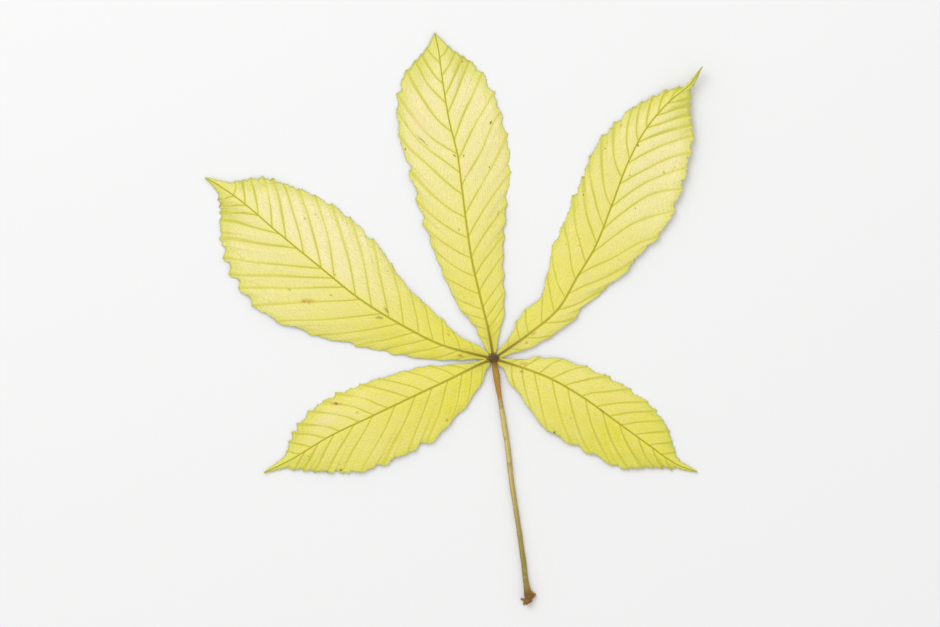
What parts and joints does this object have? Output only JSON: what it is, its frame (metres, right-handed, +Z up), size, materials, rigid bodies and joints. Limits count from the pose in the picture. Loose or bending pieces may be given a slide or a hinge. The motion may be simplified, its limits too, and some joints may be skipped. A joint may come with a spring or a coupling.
{
  "type": "horse chestnut leaf",
  "caption": "Palmate horse chestnut leaf lying flat: long slender stalk with a swollen foot, spreading toothed leaflets with a raised midrib beneath, thin autumn-yellow blades.",
  "frame": {"origin": "middle of the leaf's footprint, on the surface that it lies on", "axes": "+Z up out of the leaf's upper side, +Y from the stalk's foot towards the middle leaflet's tip, +X to the right as seen from above"},
  "size_m": [0.2494, 0.2856, 0.0094],
  "materials": {
    "blade": "thin matt-satin yellow blade with greener veins",
    "stalk": "satin olive-brown stalk, darker at hub and foot"
  },
  "bodies": {
    "root": {"petiole": "stalk", "leaflet_middle": "blade", "leaflet_upper_left": "blade", "leaflet_upper_right": "blade", "leaflet_lower_left": "blade", "leaflet_lower_right": "blade"}
  },
  "joints": []
}
